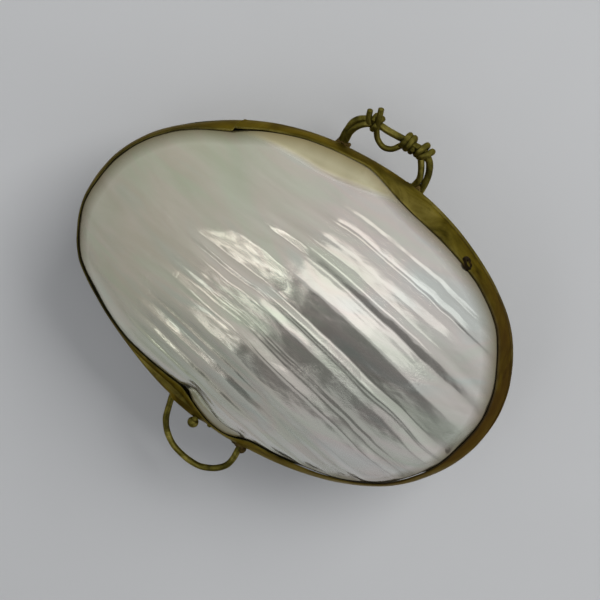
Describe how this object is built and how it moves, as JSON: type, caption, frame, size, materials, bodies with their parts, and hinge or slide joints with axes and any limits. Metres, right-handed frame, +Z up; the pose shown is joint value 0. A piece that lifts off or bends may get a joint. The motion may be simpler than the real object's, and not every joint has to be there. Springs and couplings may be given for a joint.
{
  "type": "pill box",
  "caption": "Oval hinged trinket or pill box of ribbed mother-of-pearl shell in brass bands, with a plain wire loop and a twisted wire handle.",
  "frame": {"origin": "centre of the small ground flat under the base dome, on the surface that the box stands on", "axes": "+Z up through the lid, X along the oval's long axis, +Y towards the hinge and the twisted handle, -Y towards the plain loop and thumb ball"},
  "size_m": [0.062, 0.0588, 0.0237],
  "materials": {
    "ribbed_nacre": "polished ribbed mother-of-pearl",
    "nacre": "polished mother-of-pearl",
    "band_brass": "tarnished olive brown patina",
    "inner_brass": "dull, lightly tarnished",
    "wire_brass": "tarnished, rubbed brighter on top",
    "solder": "rough dark soft solder"
  },
  "bodies": {
    "base": {"base_shell": "nacre", "base_band": "band_brass", "base_bearer": "band_brass", "base_lip": "inner_brass", "base_shell_pins": "wire_brass", "base_hinge_leaf": "inner_brass", "hinge_pin": "wire_brass", "front_loop": "wire_brass", "front_loop_solder": "solder", "catch_bead": "inner_brass", "handle_bar": "wire_brass", "handle_strand": "wire_brass", "handle_wraps": "wire_brass", "handle_curl": "wire_brass", "handle_prong": "wire_brass", "rear_handle_solder": "solder"},
    "lid": {"lid_shell": "ribbed_nacre", "lid_band": "band_brass", "lid_bearer": "band_brass", "lid_shell_pins": "wire_brass", "lid_hinge_leaf": "inner_brass", "lid_catch_strip": "inner_brass", "thumb_ball": "wire_brass"}
  },
  "joints": [
    {"name": "lid_hinge", "type": "hinge", "parent": "base", "child": "lid", "pos_m": [0, 0.02165, 0.0103], "axis": [-1, 0, 0], "range_deg": [0, 80]}
  ]
}
